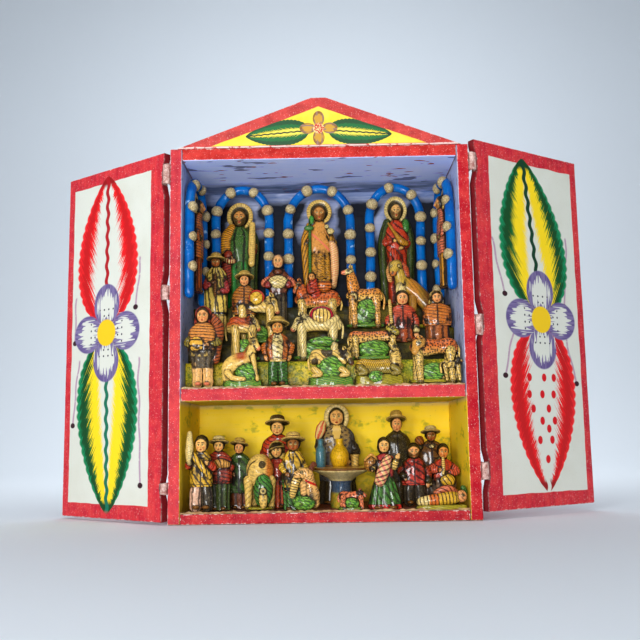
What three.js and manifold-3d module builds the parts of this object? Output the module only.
// A two-storey folding shrine box: a painted wooden case with a gable board, two doors on leather straps
// that swing back past flat, and a crowd of small moulded figures on a stepped platform above and a floor
// below.
// Millimetres, +X to the right, +Y towards the back, +Z up. The origin is the middle of the case's underside.
import * as THREE from 'three';
import { mergeVertices } from 'three/addons/utils/BufferGeometryUtils.js';
import Module from 'manifold-3d';

const wasm = await Module();
wasm.setup();

// ---- driving dimensions ----
const GAP = 0.3; // between pieces that touch
const WIDTH = 280;
const HEIGHT = 346;
const DEPTH = 120;
const WALL = 11;
const TOP_BOARD = 11.5;
const FLOOR_BOARD = 9.5;
const BACK_BOARD = 5;
const SHELF_Z = 109;
const SHELF = 11.8;
const GABLE = { rise: 48, halfBase: 133.5, flatTop: 7, thickness: 10 };
const DOOR = { width: 139.3, thickness: 8, insideY: -0.5 };
const LEFT_DOOR = { z: 2.1, height: 341.3, openPastFlat: 36.1 };
const RIGHT_DOOR = { z: 7.1, height: 343.9, openPastFlat: 33.9 };
const HINGE_OUT = 4.65; // hinge axis, out from the case's side, level with its front
const STRAP = { thickness: 1, leaf: 8.5, turn: 2.2, doorGap: 0.5 };
const STRAP_SPANS = {
  left: { top: [312.9, 332.4], middle: [202.6, 216.6], bottom: [26.4, 36.9] },
  right: { top: [320.9, 338.4], middle: [165.2, 184.6], bottom: [35.2, 51] },
};
const STEPS = [[24, 146], [40, 164], [56, 180], [72, 205]]; // front y and top z of each step
const ARCH = { tube: 4.6, y: 78, sides: 6, steps: 12 };
// Corners of a casting closer than this are made one, by the first reach that leaves it closed.
const SLIVERS = [1.1, 0.8, 0.5, 0.2];

const INSIDE = WIDTH / 2 - WALL;
const INSIDE_DEPTH = DEPTH - BACK_BOARD - GAP;
const CEILING_Z = HEIGHT - TOP_BOARD;
const UPPER_FLOOR = SHELF_Z + SHELF + GAP;
const LOWER_FLOOR = FLOOR_BOARD + GAP;

// ---- colours and finishes ----
const look = (color, roughness) => new THREE.MeshStandardMaterial({ color, roughness, metalness: 0 });
const LOOKS = {
  red: () => look(0xb5152a, 0.6), yellow: () => look(0xe0b81c, 0.55), grey: () => look(0x8c93b5, 0.8),
  leather: () => look(0xc98f84, 0.85), blue: () => look(0x0f5fb8, 0.25), cream: () => look(0xe2d0a0, 0.35),
  green: () => look(0x1c6a3a, 0.35), brown: () => look(0x8a5a2a, 0.4), crimson: () => look(0x9a1a2c, 0.35),
  dark: () => look(0x2a2530, 0.4), moss: () => look(0x9a9a2e, 0.5), ochre: () => look(0xc9962a, 0.35),
};

// ---- solids ----
// The closed solid of a three.js geometry, facing out. Corners closer than `reach` become one.
function solid(geometry, reach = 1e-4) {
  const bare = geometry.clone();
  bare.deleteAttribute('normal');
  bare.deleteAttribute('uv');
  const merged = mergeVertices(bare, reach);
  const index = merged.index.array;
  const at = merged.attributes.position.array;
  const kept = [];
  let volume = 0;
  for (let i = 0; i < index.length; i += 3) {
    const [a, b, c] = [index[i], index[i + 1], index[i + 2]];
    if (a === b || b === c || c === a) continue;
    kept.push(a, b, c);
    const [p, q, r] = [a, b, c].map((v) => new THREE.Vector3().fromArray(at, 3 * v));
    volume += p.dot(q.cross(r));
  }
  if (volume < 0) kept.reverse();
  const [vertProperties, triVerts] = [new Float32Array(at), new Uint32Array(kept)];
  return new wasm.Manifold(new wasm.Mesh({ numProp: 3, vertProperties, triVerts }));
}

function geometryOf(body) {
  const { vertProperties, triVerts } = body.getMesh();
  const geometry = new THREE.BufferGeometry();
  geometry.setAttribute('position', new THREE.BufferAttribute(new Float32Array(vertProperties), 3));
  geometry.setIndex(new THREE.BufferAttribute(new Uint32Array(triVerts), 1));
  return geometry;
}

// Whether every edge is shared by just two triangles, counting corners in one place as one.
function isClosed(body) {
  const index = mergeVertices(geometryOf(body), 1e-3).index.array;
  const seen = new Set();
  for (let i = 0; i < index.length; i += 3) {
    for (const [a, b] of [[0, 1], [1, 2], [2, 0]]) seen.add(`${index[i + a]}-${index[i + b]}`);
  }
  return seen.size === index.length;
}

// One casting of several solids, its underside flat and its slivers welded as far as keeps it closed.
function cast(solids) {
  const whole = wasm.Manifold.union(solids).trimByPlane([0, 0, 1], 0);
  const welded = SLIVERS.map((reach) => solid(geometryOf(whole), reach));
  return welded.find(isClosed) ?? whole;
}

// A mesh of a solid, with its own material.
function named(name, body, material, place = [0, 0, 0]) {
  const geometry = geometryOf(body);
  geometry.computeVertexNormals();
  const mesh = new THREE.Mesh(geometry, material);
  mesh.name = name;
  mesh.position.set(...place);
  return mesh;
}

// A board between two corners.
function board([x0, y0, z0], [x1, y1, z1]) {
  const box = new THREE.BoxGeometry(x1 - x0, y1 - y0, z1 - z0);
  return solid(box.translate((x0 + x1) / 2, (y0 + y1) / 2, (z0 + z1) / 2));
}

// An egg-shaped lump: its middle and its three radii.
function ball([x, y, z], [rx, ry, rz], sides = 5, rings = 4) {
  const sphere = new THREE.SphereGeometry(1, sides, rings).rotateX(Math.PI / 2);
  return solid(sphere.scale(rx, ry, rz).translate(x, y, z));
}

// A limb through stations of [x, y, z, radius], round at both ends.
function strung(stations, sides = 4) {
  const middles = stations.map(([x, y, z]) => new THREE.Vector3(x, y, z));
  const along = middles.map((middle, i) => {
    const next = middles[Math.min(i + 1, middles.length - 1)];
    return next.clone().sub(middles[Math.max(i - 1, 0)]).normalize();
  });
  const radii = stations.map((station) => station[3]);
  const last = middles.length - 1;
  middles.unshift(middles[0].clone().addScaledVector(along[0], -0.7 * radii[0]));
  middles.push(middles.at(-1).clone().addScaledVector(along[last], 0.7 * radii[last]));
  along.unshift(along[0]);
  along.push(along.at(-1));
  const lathe = new THREE.LatheGeometry([0, ...radii, 0].map((r, i) => new THREE.Vector2(r, i)), sides);
  const at = lathe.attributes.position;
  const turn = new THREE.Quaternion().setFromUnitVectors(new THREE.Vector3(0, 1, 0), along[0]);
  middles.forEach((middle, ring) => {
    if (ring > 0) turn.premultiply(new THREE.Quaternion().setFromUnitVectors(along[ring - 1],
      along[ring]));
    for (let i = ring; i < at.count; i += middles.length) {
      const point = new THREE.Vector3(at.getX(i), 0, at.getZ(i)).applyQuaternion(turn).add(middle);
      at.setXYZ(i, point.x, point.y, point.z);
    }
  });
  return solid(lathe);
}

const limb = (from, to, r1, r2, sides = 4) => strung([[...from, r1], [...to, r2]], sides);

// A body turned about the upright. A ring is [radius, z, depth, fold, middle]: depth flattens it front to back,
// fold draws every other corner in, as cloth does, and its middle can be moved to an [x, y] off the axis.
function turned(rings, [x, y, z] = [0, 0, 0], sides = 8) {
  const lathe = new THREE.LatheGeometry(rings.map((ring) => new THREE.Vector2(ring[0], ring[1])),
    sides);
  lathe.rotateX(Math.PI / 2);
  const at = lathe.attributes.position;
  for (let i = 0; i < at.count; i += 1) {
    const [, , depth = 1, fold = 0, offset = [0, 0]] = rings[i % rings.length];
    const column = Math.floor(i / rings.length) % sides;
    const inward = column % 2 ? 1 - fold : 1;
    at.setXY(i, at.getX(i) * inward + offset[0], at.getY(i) * inward * depth + offset[1]);
  }
  return solid(lathe.translate(x, y, z));
}

// A round bar that follows a curve.
function bar(curve, radius, steps, sides) {
  const ring = new THREE.Shape();
  for (let i = 0; i < sides; i += 1) {
    const angle = (2 * Math.PI * i) / sides;
    const point = [radius * Math.cos(angle), radius * Math.sin(angle)];
    if (i === 0) ring.moveTo(...point);
    else ring.lineTo(...point);
  }
  return solid(new THREE.ExtrudeGeometry(ring, { steps, extrudePath: curve, bevelEnabled: false }));
}

// ---- people, standing on z = 0 and facing -y ----
const PERSON_SIDES = 6;

// What is on the head, as rings above the chin: [radius, height] in head radii.
const HEADGEAR = {
  none: [[0.95, 0.35], [0.95, 1.3], [0.55, 2.2]],
  hair: [[0.95, 0.35], [1.2, 1.5], [0.7, 2.3]],
  scarf: [[1.1, 0.3], [1.4, 1.4], [0.8, 2.3]],
  halo: [[0.95, 0.35], [1.15, 1.5], [0.6, 2.3]],
  brim: [[0.95, 0.35], [0.9, 1.5], [1.6, 1.65], [0.85, 2.6]],
};

// A robed figure: its height, its half-widths at the foot, waist and shoulders, the head's radius and lean to one
// side, its arms as [elbow, hand] pairs, and the things cast with it.
function person({ tall, foot, waist, shoulder, depth = 0.62, headR, lean = 0, hat = 'none', fold = 0.12,
  arms = [], held = [] }) {
  const gear = HEADGEAR[hat];
  const chin = tall - gear.at(-1)[1] * headR;
  const at = [lean, -0.1 * headR];
  const rings = [[0, 0], [foot, 0, depth, fold], [waist, 0.58 * chin, depth, 0.5 * fold],
    [shoulder, 0.86 * chin, depth], [0.55 * headR, chin, 1, 0, at],
      ...gear.map(([r, z]) => [r * headR, chin + z * headR, 0.95, 0, at]),
    [0, tall, 1, 0, at]];
  const parts = [turned(rings, [0, 0, 0], PERSON_SIDES)];
  if (hat === 'halo') {
    const disc = turned([[0, -0.15 * headR], [1.7 * headR, 0], [0, 0.15 * headR]]).rotate([90, 0, 0]);
    parts.push(disc.translate([lean, 0.75 * headR, chin + 1.35 * headR]));
  }
  if (arms.length) {
    // one yoke from hand to hand over the shoulders, or from the chest to a lone hand
    const [[elbow, hand], [elbow2, hand2] = [[-0.5 * elbow[0], 0, 0.84 * chin],
      [0, 2, 0.7 * chin]]] = arms;
    const root = Math.sign(elbow[0]) * 0.6 * shoulder;
    parts.push(strung([[...hand, 2], [...elbow, 3], [root, 0, 0.84 * chin, 3],
      [-root, 0, 0.84 * chin, 3],
      [...elbow2, 3], [...hand2, 2]]));
  }
  return cast([...parts, ...held]);
}

const BEAST_DEPTH = 0.78; // castings are flatter than the animal

// ---- beasts: `head` side is +1 when it looks to +x; heights are above the ground ----
function beast({ long, back, chest, rump = chest, toward = 1, neck, muzzle, headR = 3.4, ears = 4,
  legs = true,
  ground = 3, bush = 0, deep = 8, held = [] }) {
  const half = long / 2 - chest;
  const [front, rear] = [toward * half, -toward * half];
  // rump, back, chest, neck and head in one run
  const throat = [0.4 * front + 0.6 * neck[0], neck[1], 0.5 * (back + neck[2]) - 3, 0.7 * chest];
  const parts = [strung([[rear - toward * 0.4 * rump, 0, back - 1.1 * rump, 0.7 * rump],
    [rear, 0, back - rump, rump],
    [front, 0, back - chest, chest], throat, [...neck, headR], [...muzzle, 0.6 * headR]], 5)];
  const earZ = neck[2] + 0.4 * headR;
  if (ears > 4) {
    const tip = neck[0] - toward;
    const [left, right] = [-1, 1].map((side) => [tip, side * headR, earZ + ears, 0.8]);
    parts.push(strung([left, [neck[0], 0, earZ, 1.8], right], 3));
  }
  if (legs) {
    for (const x of [front + 0.2 * toward * chest, rear]) {
      parts.push(strung([[x, -0.36 * deep, 1, 2.2], [x, -0.2 * deep, back - 1.5 * chest, 3],
        [x, 0.2 * deep, back - 1.5 * chest, 3], [x, 0.36 * deep, 1, 2.2]], 3));
    }
  }
  if (bush) parts.push(ball([0, 0, ground + 0.7 * bush], [0.4 * long, 0.42 * deep, bush], 5, 3));
  if (ground) {
    const flat = deep / long;
    const rings = [[0, 0], [0.5 * long, 0, flat], [0.47 * long, ground, flat], [0, 1.2 * ground]];
    parts.push(turned(rings, [0, 0, 0], 6));
  }
  return cast([...parts, ...held]).scale([1, BEAST_DEPTH, 1]);
}

// ---- the case ----
function caseBoards() {
  const wallBack = DEPTH - BACK_BOARD - GAP;
  const between = INSIDE - GAP;
  const gable = new THREE.Shape();
  gable.moveTo(-GABLE.halfBase, 0).lineTo(GABLE.halfBase, 0).lineTo(GABLE.flatTop, GABLE.rise);
  gable.lineTo(-GABLE.flatTop, GABLE.rise).closePath();
  const gableBoard = new THREE.ExtrudeGeometry(gable, { depth: GABLE.thickness, bevelEnabled: false });
  gableBoard.rotateX(Math.PI / 2).translate(0, GABLE.thickness, HEIGHT + GAP);
  return [
    named('left_wall', board([-WIDTH / 2, 0, 0], [-INSIDE, wallBack, HEIGHT]), LOOKS.red()),
    named('right_wall', board([INSIDE, 0, 0], [WIDTH / 2, wallBack, HEIGHT]), LOOKS.red()),
    named('top_board', board([-between, 0, CEILING_Z], [between, wallBack, HEIGHT]), LOOKS.red()),
    named('floor_board', board([-between, 0, 0], [between, wallBack, FLOOR_BOARD]), LOOKS.yellow()),
    named('shelf', board([-between, 0, SHELF_Z], [between, wallBack, SHELF_Z + SHELF]), LOOKS.red()),
    named('back_board', board([-WIDTH / 2, DEPTH - BACK_BOARD, 0], [WIDTH / 2, DEPTH, HEIGHT]),
      LOOKS.grey()),
    named('pediment', solid(gableBoard), LOOKS.yellow()),
  ];
}

function platform() {
  const outline = new THREE.Shape();
  const back = INSIDE_DEPTH - GAP;
  outline.moveTo(STEPS[0][0], UPPER_FLOOR);
  STEPS.forEach(([y, z], i) => {
    if (i > 0) outline.lineTo(y, STEPS[i - 1][1]);
    outline.lineTo(y, z);
  });
  outline.lineTo(back, STEPS.at(-1)[1]).lineTo(back, UPPER_FLOOR).closePath();
  const long = 2 * (INSIDE - GAP);
  const steps = new THREE.ExtrudeGeometry(outline, { depth: long, bevelEnabled: false });
  steps.applyMatrix4(new THREE.Matrix4().makeBasis(new THREE.Vector3(0, 1, 0),
    new THREE.Vector3(0, 0, 1),
    new THREE.Vector3(1, 0, 0)));
  return named('stepped_platform', solid(steps.translate(-long / 2, 0, 0)), LOOKS.moss());
}

// ---- doors and straps: `side` is -1 on the left and 1 on the right ----
// A door stands open, turned about its hinge axis past flat by its own angle.
function door(name, side, { z, height, openPastFlat }) {
  const slab = new THREE.BoxGeometry(DOOR.width, DOOR.thickness, height);
  slab.translate(-side * (HINGE_OUT + DOOR.width / 2), DOOR.insideY - DOOR.thickness / 2, height / 2);
  slab.rotateZ(side * THREE.MathUtils.degToRad(180 + openPastFlat));
  return named(name, solid(slab), LOOKS.red(), [side * (WIDTH / 2 + HINGE_OUT), 0, z]);
}

// A strap lies on the case's side, then crosses the gap to the door's edge.
function strap(name, side, [z0, z1], openPastFlat) {
  const open = THREE.MathUtils.degToRad(openPastFlat);
  const face = WIDTH / 2 + GAP;
  const axis = WIDTH / 2 + HINGE_OUT;
  const back = 4; // how far down the door's edge the strap meets it
  const stand = HINGE_OUT - STRAP.doorGap;
  const end = [
    axis + stand * Math.cos(open) - (back - DOOR.insideY) * Math.sin(open),
    stand * Math.sin(open) + (back - DOOR.insideY) * Math.cos(open),
  ];
  const t = STRAP.thickness;
  const outline = [[face, STRAP.leaf], [face, STRAP.turn], [face + t, STRAP.turn - 1], end,
    [end[0] - 0.5 * t, end[1] + t], [face + t, STRAP.turn + t], [face + t, STRAP.leaf]];
  const shape = new THREE.Shape(outline.map(([x, y]) => new THREE.Vector2(side * x, y)));
  const leather = new THREE.ExtrudeGeometry(shape, { depth: z1 - z0, bevelEnabled: false });
  return named(name, solid(leather), LOOKS.leather(), [0, 0, z0]);
}

function doorsAndStraps() {
  const pieces = [door('left_door', -1, LEFT_DOOR), door('right_door', 1, RIGHT_DOOR)];
  for (const [word, side, leaf] of [['left', -1, LEFT_DOOR], ['right', 1, RIGHT_DOOR]]) {
    for (const [level, span] of Object.entries(STRAP_SPANS[word])) {
      pieces.push(strap(`${word}_strap_${level}`, side, span, leaf.openPastFlat));
    }
  }
  return pieces;
}

// ---- arches: two legs and a half-oval top ----
function arch(half, legFoot, spring, top) {
  const leg = [0, 0.5].map((share) => legFoot + (spring - legFoot) * share);
  const oval = Array.from({ length: 9 }, (_, i) => Math.PI * (1 - i / 8));
  const line = [
    ...leg.map((z) => new THREE.Vector3(-half, 0, z)),
    ...oval.map((turn) => new THREE.Vector3(half * Math.cos(turn), 0,
      spring + (top - spring) * Math.sin(turn))),
    ...leg.reverse().map((z) => new THREE.Vector3(half, 0, z)),
  ];
  return bar(new THREE.CatmullRomCurve3(line), ARCH.tube, ARCH.steps, ARCH.sides);
}

function arches() {
  const foot = STEPS.at(-1)[1] + GAP;
  const pieces = [
    named('left_arch', arch(27.3, foot, 293, 328), LOOKS.blue(), [-80, ARCH.y, 0]),
    named('middle_arch', arch(32, foot, 290, 328), LOOKS.blue(), [-1.5, ARCH.y, 0]),
    named('right_arch', arch(26, foot, 293, 328), LOOKS.blue(), [76, ARCH.y, 0]),
  ];
  // The two on the side walls are glued to them, a little off the wall at the back, and end above the crowd.
  for (const [name, side, near, low] of [['left_side_arch', -1, 13, 210],
    ['right_side_arch', 1, 21, 215]]) {
    const half = 28;
    const piece = named(name, arch(half, low, 290, 324), LOOKS.blue(),
      [side * (INSIDE - GAP - ARCH.tube - 2.6), near + half, 0]);
    piece.rotation.z = -side * (Math.PI / 2 - THREE.MathUtils.degToRad(4.4));
    pieces.push(piece);
  }
  return pieces;
}

// ---- the figures: name, place (x, y from the front, floor), body, material, turn in degrees ----
const STEP = (row) => (row ? STEPS[row - 1][1] + GAP : UPPER_FLOOR);

function saints() {
  const staff = (x, z0, z1, r = 1.6) => limb([x, -9, z0], [x, -8, z1], r, r, 5);
  return [
    ['left_saint', [-83.2, 90, STEP(4)], person({ tall: 108, foot: 15, waist: 13, shoulder: 16,
      headR: 8, hat: 'halo',
      arms: [[[-19, -2, 62], [-11, -8, 56]], [[17, -1, 68], [14, -8, 58]]],
      held: [ball([-15, -1, 52], [7, 6, 17]), staff(14.5, 40, 92)] }), LOOKS.green()],
    ['middle_saint', [-1.1, 90, STEP(4)], person({ tall: 110, foot: 12, waist: 12.5, shoulder: 14,
      headR: 7.6,
      hat: 'halo', arms: [[[-17, -2, 66], [-13, -7, 70]], [[17, -1, 68], [9, -9, 78]]],
      held: [staff(-11, 30, 92, 2.2), ball([12, -8, 82], [5, 4, 5]),
        ball([15, 0, 50], [5.5, 6, 22])] }),
    LOOKS.ochre()],
    ['right_saint', [77.4, 90, STEP(4)], person({ tall: 112, foot: 15, waist: 14, shoulder: 17,
      headR: 8, hat: 'halo',
      arms: [[[-17, -2, 68], [-3, -9, 70]], [[17, -1, 68], [6, -9, 62]]],
      held: [limb([-8, -9, 84], [8, -11, 62], 2, 4.5)] }), LOOKS.crimson()],
    ['left_side_saint', [-120.3, 41, 216], person({ tall: 94, foot: 12, waist: 11, shoulder: 13,
      headR: 6.6,
      depth: 0.46, hat: 'halo', arms: [[[-14, -2, 52], [-6, -5, 54]], [[14, -2, 52], [6, -5, 50]]] }),
    LOOKS.ochre(), 90],
    ['right_side_saint', [120.3, 49, 218], person({ tall: 94, foot: 12, waist: 11, shoulder: 13,
      headR: 6.6,
      depth: 0.46, hat: 'halo', arms: [[[-14, -2, 52], [-6, -5, 54]], [[14, -2, 52], [6, -5, 50]]] }),
    LOOKS.ochre(), -90],
  ];
}

function upperCrowd() {
  const muleteer = person({ tall: 74, foot: 9, waist: 10, shoulder: 11, headR: 5.6,
    hat: 'brim' }).translate([-12, 2, 0]);
  const rider = [strung([[-3, 0, 32, 8], [-4, 0, 44, 7.5], [-6, -1, 48, 4.5], [-7, -2, 54, 6]], 6),
    ball([7, -2, 42], [8, 5, 7])];
  const lamb = beast({ long: 20, back: 22, chest: 4, toward: 1, neck: [7, 0, 23], muzzle: [10, 0, 21],
    headR: 2.6,
    ears: 0, deep: 7, ground: 0 }).translate([15, -6.4, 0]);
  return [
    ['bread_woman', [-109.2, 12, STEP(0)], person({ tall: 77, foot: 11, waist: 15, shoulder: 13,
      headR: 6.8,
      hat: 'scarf', arms: [[[-16, -3, 42], [-7, -8, 38]], [[16, -3, 42], [6, -8, 40]]],
      held: [ball([-5, -8.5, 40], [8, 2.6, 8]), ball([9, 3, 56], [7.5, 5, 14])] }), LOOKS.crimson()],
    ['resting_donkey', [-74, 11, STEP(0)], beast({ long: 42, back: 31, chest: 9, rump: 8, toward: 1,
      neck: [11, -1, 44], muzzle: [15, -3, 36], headR: 5, ears: 7, legs: false, ground: 7, bush: 11,
        deep: 16 }),
    LOOKS.cream()],
    ['vest_man', [-41, 11.5, STEP(0)], person({ tall: 66, foot: 9.5, waist: 10, shoulder: 11, headR: 6,
      hat: 'brim',
      arms: [[[-13, 0, 38], [-11, -3, 28]], [[13, 0, 38], [11, -3, 28]]] }), LOOKS.green()],
    ['pied_cow', [6.8, 12, STEP(0)], beast({ long: 44, back: 37, chest: 8.5, toward: 1,
      neck: [14, -2, 32],
      muzzle: [20, -4, 23], headR: 4.6, ears: 3, legs: false, ground: 9, bush: 12, deep: 17 }),
        LOOKS.cream()],
    ['resting_llama', [52.6, 13.5, STEP(0)], beast({ long: 50, back: 26, chest: 8, rump: 8, toward: 1,
      neck: [17, -1, 34], muzzle: [12, -2, 39], headR: 4, ears: 2, legs: false, ground: 10,
        deep: 16 }), LOOKS.moss()],
    ['ewe_and_lamb', [102, 12.5, STEP(0)], cast([beast({ long: 50, back: 46, chest: 10, rump: 9,
      toward: -1,
      neck: [-16, -2, 41], muzzle: [-20, -4, 29], headR: 5.6, ears: 3, ground: 3, bush: 9, deep: 15 }),
        lamb]),
    LOOKS.cream()],
    ['brown_cow', [-76, 31.5, STEP(1)], beast({ long: 36, back: 46, chest: 10, toward: 1,
      neck: [11, -1, 40],
      muzzle: [16, -2, 32], headR: 4.6, ears: 4, ground: 3, deep: 12 }), LOOKS.brown()],
    ['saddled_donkey', [-3, 31.5, STEP(1)], beast({ long: 50, back: 46, chest: 10, toward: -1,
      neck: [-18, -1, 40],
      muzzle: [-25, -3, 30], headR: 4.6, ears: 5, ground: 3, bush: 8, deep: 13,
      held: [ball([4, -1, 42], [14, 6.5, 11])] }), LOOKS.cream()],
    ['spotted_cat', [47.5, 31.5, STEP(1)], beast({ long: 50, back: 30, chest: 6, rump: 7, toward: 1,
      neck: [18, -1, 31],
      muzzle: [24, -3, 27], headR: 5, ears: 2, ground: 3, bush: 9, deep: 13 }), LOOKS.cream()],
    ['muleteer_and_mule', [-66, 47.5, STEP(2)], cast([beast({ long: 46, back: 48, chest: 9, toward: 1,
      neck: [18, -1, 44], muzzle: [23, -3, 32], headR: 4.4, ears: 5, ground: 3, deep: 14,
      held: [ball([1, -1, 45], [9, 6, 9])] }), muleteer]), LOOKS.cream()],
    ['staff_man', [78.5, 47.5, STEP(2)], person({ tall: 52, foot: 13, waist: 12, shoulder: 11,
      depth: 0.5, headR: 6.4,
      hat: 'hair', arms: [[[-15, -2, 22], [-12, -4, 12]], [[13, -2, 22], [13, -4, 8]]],
      held: [limb([-11, -5, 6], [-13, -4, 42], 1.8, 2.4)] }), LOOKS.crimson()],
    ['shawl_woman', [111.5, 47.5, STEP(2)], person({ tall: 51, foot: 11, waist: 12, shoulder: 12,
      depth: 0.55, headR: 5.4,
      hat: 'scarf', arms: [[[-11.5, -1, 26], [-10, -4, 20]], [[11.5, -1, 26], [10, -4, 22]]] }),
        LOOKS.ochre()],
    ['flute_player', [-105.5, 62, STEP(3)], person({ tall: 79, foot: 11, waist: 12, shoulder: 11,
      depth: 0.55,
      headR: 5.6, hat: 'brim', arms: [[[-11, -2, 44], [-3, -6, 48]], [[12, -2, 40], [4, -6, 38]]],
      held: [limb([0, -7, 44], [0, -5.5, 57], 1.3, 1)] }), LOOKS.ochre()],
    ['box_bearer', [-43, 63.5, STEP(3)], person({ tall: 77, foot: 9, waist: 9, shoulder: 13,
      depth: 0.5, headR: 6,
      arms: [[[-15, -1, 48], [-9, -5, 46]], [[15, -1, 48], [9, -5, 46]]],
      held: [ball([0, -5.5, 49], [10, 2.4, 6])] }), LOOKS.crimson()],
    ['cow_rider', [-3, 63.5, STEP(3)], beast({ long: 50, back: 38, chest: 10, toward: -1,
      neck: [-20, -1, 44],
      muzzle: [-24, -2, 37], headR: 4, ears: 3, ground: 3, deep: 14, held: rider }), LOOKS.brown()],
    ['tall_llama', [44, 63.5, STEP(3)], beast({ long: 40, back: 43, chest: 8.5, toward: -1,
      neck: [-15, -1, 62],
      muzzle: [-23, -2, 60], headR: 4, ears: 4, ground: 3, bush: 12, deep: 14 }), LOOKS.cream()],
    ['hound', [89, 62.5, STEP(3)], cast([strung([[19, 0, 6, 7], [19, 0, 24, 9], [-8, 0, 50, 9]], 6),
      limb([-9, -1, 44], [-11, -1, 3], 6, 5), limb([-15, 0, 65], [-15, -5, 57], 7, 5.5, 6),
      limb([-21, -2, 64], [-22, -2, 50], 2.4, 2.8, 4), limb([-9, -2, 66], [-4, 0, 52], 2.4, 2.8, 4),
      turned([[0, 0], [24, 0, 0.3], [23, 3, 0.3], [0, 4]])]).scale([1, BEAST_DEPTH, 1]),
    LOOKS.ochre()],
  ];
}

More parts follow.
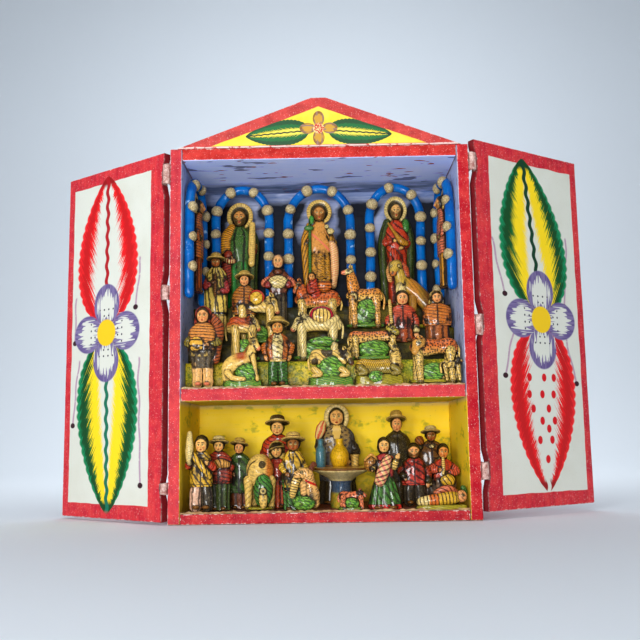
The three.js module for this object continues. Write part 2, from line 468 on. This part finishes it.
function lowerCrowd() {
  const floor = LOWER_FLOOR;
  const bottle = turned([[0, 0], [4.2, 0], [4.8, 9], [4.2, 17], [2.6, 20], [2.9, 26], [0, 26.4]],
    [-19, -7, 36.4], 6);
  const jug = turned([[0, 0], [6, 0], [9, 8], [7.6, 15], [3.4, 21], [3, 26], [0, 27]], [-1.3, 0, 36.4],
    8);
  const cup = turned([[0, 0], [3.4, 0], [4.2, 10], [0, 10.2]], [13.5, 6, 36.4], 5);
  const tableTop = [[0, 0], [10.5, 0], [10, 12], [9.5, 20], [12, 26], [27.6, 34], [27.8, 36.8],
    [0, 37]];
  return [
    ['corn_bearer', [-111.5, 13, floor], person({ tall: 67, foot: 12, waist: 10, shoulder: 11,
      headR: 6.6, hat: 'hair',
      arms: [[[-13, -2, 40], [-11, -5, 44]], [[12, -2, 38], [7, -7, 42]]],
      held: [limb([-11.5, -5, 44], [-11.5, -4, 71], 3.4, 2.6)] }), LOOKS.crimson()],
    ['bundle_woman', [-98, 30.5, floor], person({ tall: 68.5, foot: 10.5, waist: 11, shoulder: 10.5,
      headR: 5.2,
      hat: 'brim', arms: [[[-11, -1, 40], [-5, -6, 43]], [[12, -1, 40], [6, -6, 43]]] }),
        LOOKS.green()],
    ['green_cloak_woman', [-79, 45, floor], person({ tall: 66.5, foot: 10.5, waist: 11.5,
      shoulder: 10.5,
      headR: 5.4, hat: 'brim', arms: [[[-10, -2, 40], [-6, -6, 34]]] }), LOOKS.green()],
    ['cow_and_lamb', [-59.5, 24, floor], cast([ball([0, 2, 34], [14, 13, 17]),
      limb([-11, 0, 26], [-11.5, 0, 1], 4, 2.8),
      limb([11, 0, 26], [11.5, 0, 1], 4, 2.8), limb([-6, 12, 26], [-7, 13, 1], 4, 3),
        limb([6, 12, 26], [7, 13, 1], 4, 3),
      ball([4, -10, 17], [9.5, 6, 15]), ball([4.5, -15.5, 10], [4, 3, 9], 6, 4),
      turned([[0, 0], [13, 0, 1.2], [12, 4, 1.2], [0, 6]], [0, -4, 0])]), LOOKS.cream()],
    ['back_row_woman', [-45.4, 68, floor], person({ tall: 88, foot: 13, waist: 13, shoulder: 14,
      headR: 7,
      hat: 'brim', arms: [[[-15, -1, 52], [-8, -7, 46]], [[15, -1, 52], [8, -7, 46]]] }),
        LOOKS.crimson()],
    ['cream_hat_woman', [-46, 46, floor], person({ tall: 63, foot: 10, waist: 10, shoulder: 10,
      headR: 6.2,
      hat: 'scarf', arms: [[[12, -1, 34], [8, -6, 30]]] }), LOOKS.crimson()],
    ['poncho_man', [-28.2, 21, floor], person({ tall: 71, foot: 10, waist: 11, shoulder: 9.5,
      headR: 6.2, hat: 'brim',
      fold: 0.16, arms: [[[-11, -2, 40], [-6, -7, 34]], [[11, -2, 38], [6, -7, 32]]] }), LOOKS.green()],
    ['sitting_dog', [-16.3, 8.8, floor], cast([strung([[5, 1, 5, 6], [4, 1, 12, 7.5], [2, 0, 26, 6],
      [1, 0, 35, 5.2], [-9, -1, 33, 3.8]], 6),
      limb([3, 1, 36], [6, 2, 43], 2, 1), limb([-2, -2, 24], [-4, -3, 3], 2.6, 2),
      ball([-3, -2, 7], [10, 5.5, 7]), turned([[0, 0], [12, 0, 0.62], [11, 3, 0.62], [0, 4]])]),
        LOOKS.cream()],
    ['table_woman', [12.4, 91, floor], person({ tall: 98.4, foot: 22, waist: 15, shoulder: 19,
      depth: 0.6, headR: 8.4,
      hat: 'scarf', arms: [[[-20, -4, 58], [-17, -8, 72]], [[21, -3, 52], [12, -12, 42]]],
      held: [ball([-17, -8, 77], [5, 4.5, 6])] }), LOOKS.dark()],
    ['table', [15.7, 46, floor], cast([turned(tableTop, [0, 0, 0], 12), bottle, jug, cup]),
      LOOKS.ochre()],
    ['piglet', [23.5, 8.2, floor], beast({ long: 26, back: 19, chest: 4.6, toward: 1,
      neck: [9, 0, 16.5], muzzle: [13, -1, 14],
      headR: 3.2, ears: 0, ground: 3, deep: 12 }), LOOKS.cream()],
    ['straw_hat_man', [72.4, 87, floor], person({ tall: 91, foot: 17, waist: 16, shoulder: 16,
      headR: 7.6,
      hat: 'brim' }), LOOKS.dark()],
    ['skirt_woman', [56, 19, floor], person({ tall: 65, foot: 16.5, waist: 9, shoulder: 9.5,
      headR: 5.8, hat: 'hair',
      fold: 0.16, arms: [[[9, -2, 38], [13, -5, 47]], [[-11, -2, 38], [-12, -5, 36]]],
      held: [limb([-5, -7, 26], [3, -7, 46], 5.5, 4), ball([-13, 0, 42], [7, 6, 8])] }), LOOKS.green()],
    ['red_jacket_man', [84, 40, floor], person({ tall: 59, foot: 11, waist: 11, shoulder: 12,
      headR: 6.4, hat: 'hair',
      arms: [[[-13, -1, 32], [-10, -6, 26]], [[14, -1, 30], [13, -4, 20]]] }), LOOKS.crimson()],
    ['drum_player', [104.6, 70, floor], person({ tall: 75, foot: 12, waist: 12, shoulder: 12,
      headR: 5.4, hat: 'brim',
      arms: [[[-12, -2, 52], [-12, -4, 58]], [[12, -2, 44], [5, -8, 42]]],
      held: [ball([-12, -4, 62], [4.6, 4.6, 5])] }), LOOKS.dark()],
    ['pipe_player', [112.6, 46, floor], person({ tall: 58, foot: 12, waist: 12, shoulder: 11.5,
      headR: 5.8, hat: 'hair',
      arms: [[[-13, -2, 34], [-5, -7, 34]], [[12.5, -2, 32], [3, -7, 30]]],
      held: [limb([-1, -8, 30], [-1, -6.5, 44], 1.4, 1.1)] }), LOOKS.crimson()],
    ['reclining_figure', [104.6, 9, floor], cast([limb([-18, 0, 7], [12, 0, 10], 4.5, 6.5, 6),
      ball([18, -1, 12], [5, 5, 5.6]),
      limb([19, 3, 8], [21, 3, 19], 3.4, 2.4), turned([[0, 0], [24, 0, 0.3], [23, 4, 0.3], [0, 6]])]),
        LOOKS.ochre()],
  ];
}

const group = new THREE.Group();
const part = new THREE.Group();
part.position.y = -DEPTH / 2; // figures and boards are placed from the case's front
part.add(...caseBoards(), platform(), ...doorsAndStraps(), ...arches());
for (const [name, place, body, material, turn = 0] of [...saints(), ...upperCrowd(), ...lowerCrowd()]) {
  const figure = named(name, body, material, place);
  figure.rotation.z = THREE.MathUtils.degToRad(turn);
  part.add(figure);
}
group.add(part);
export default group;
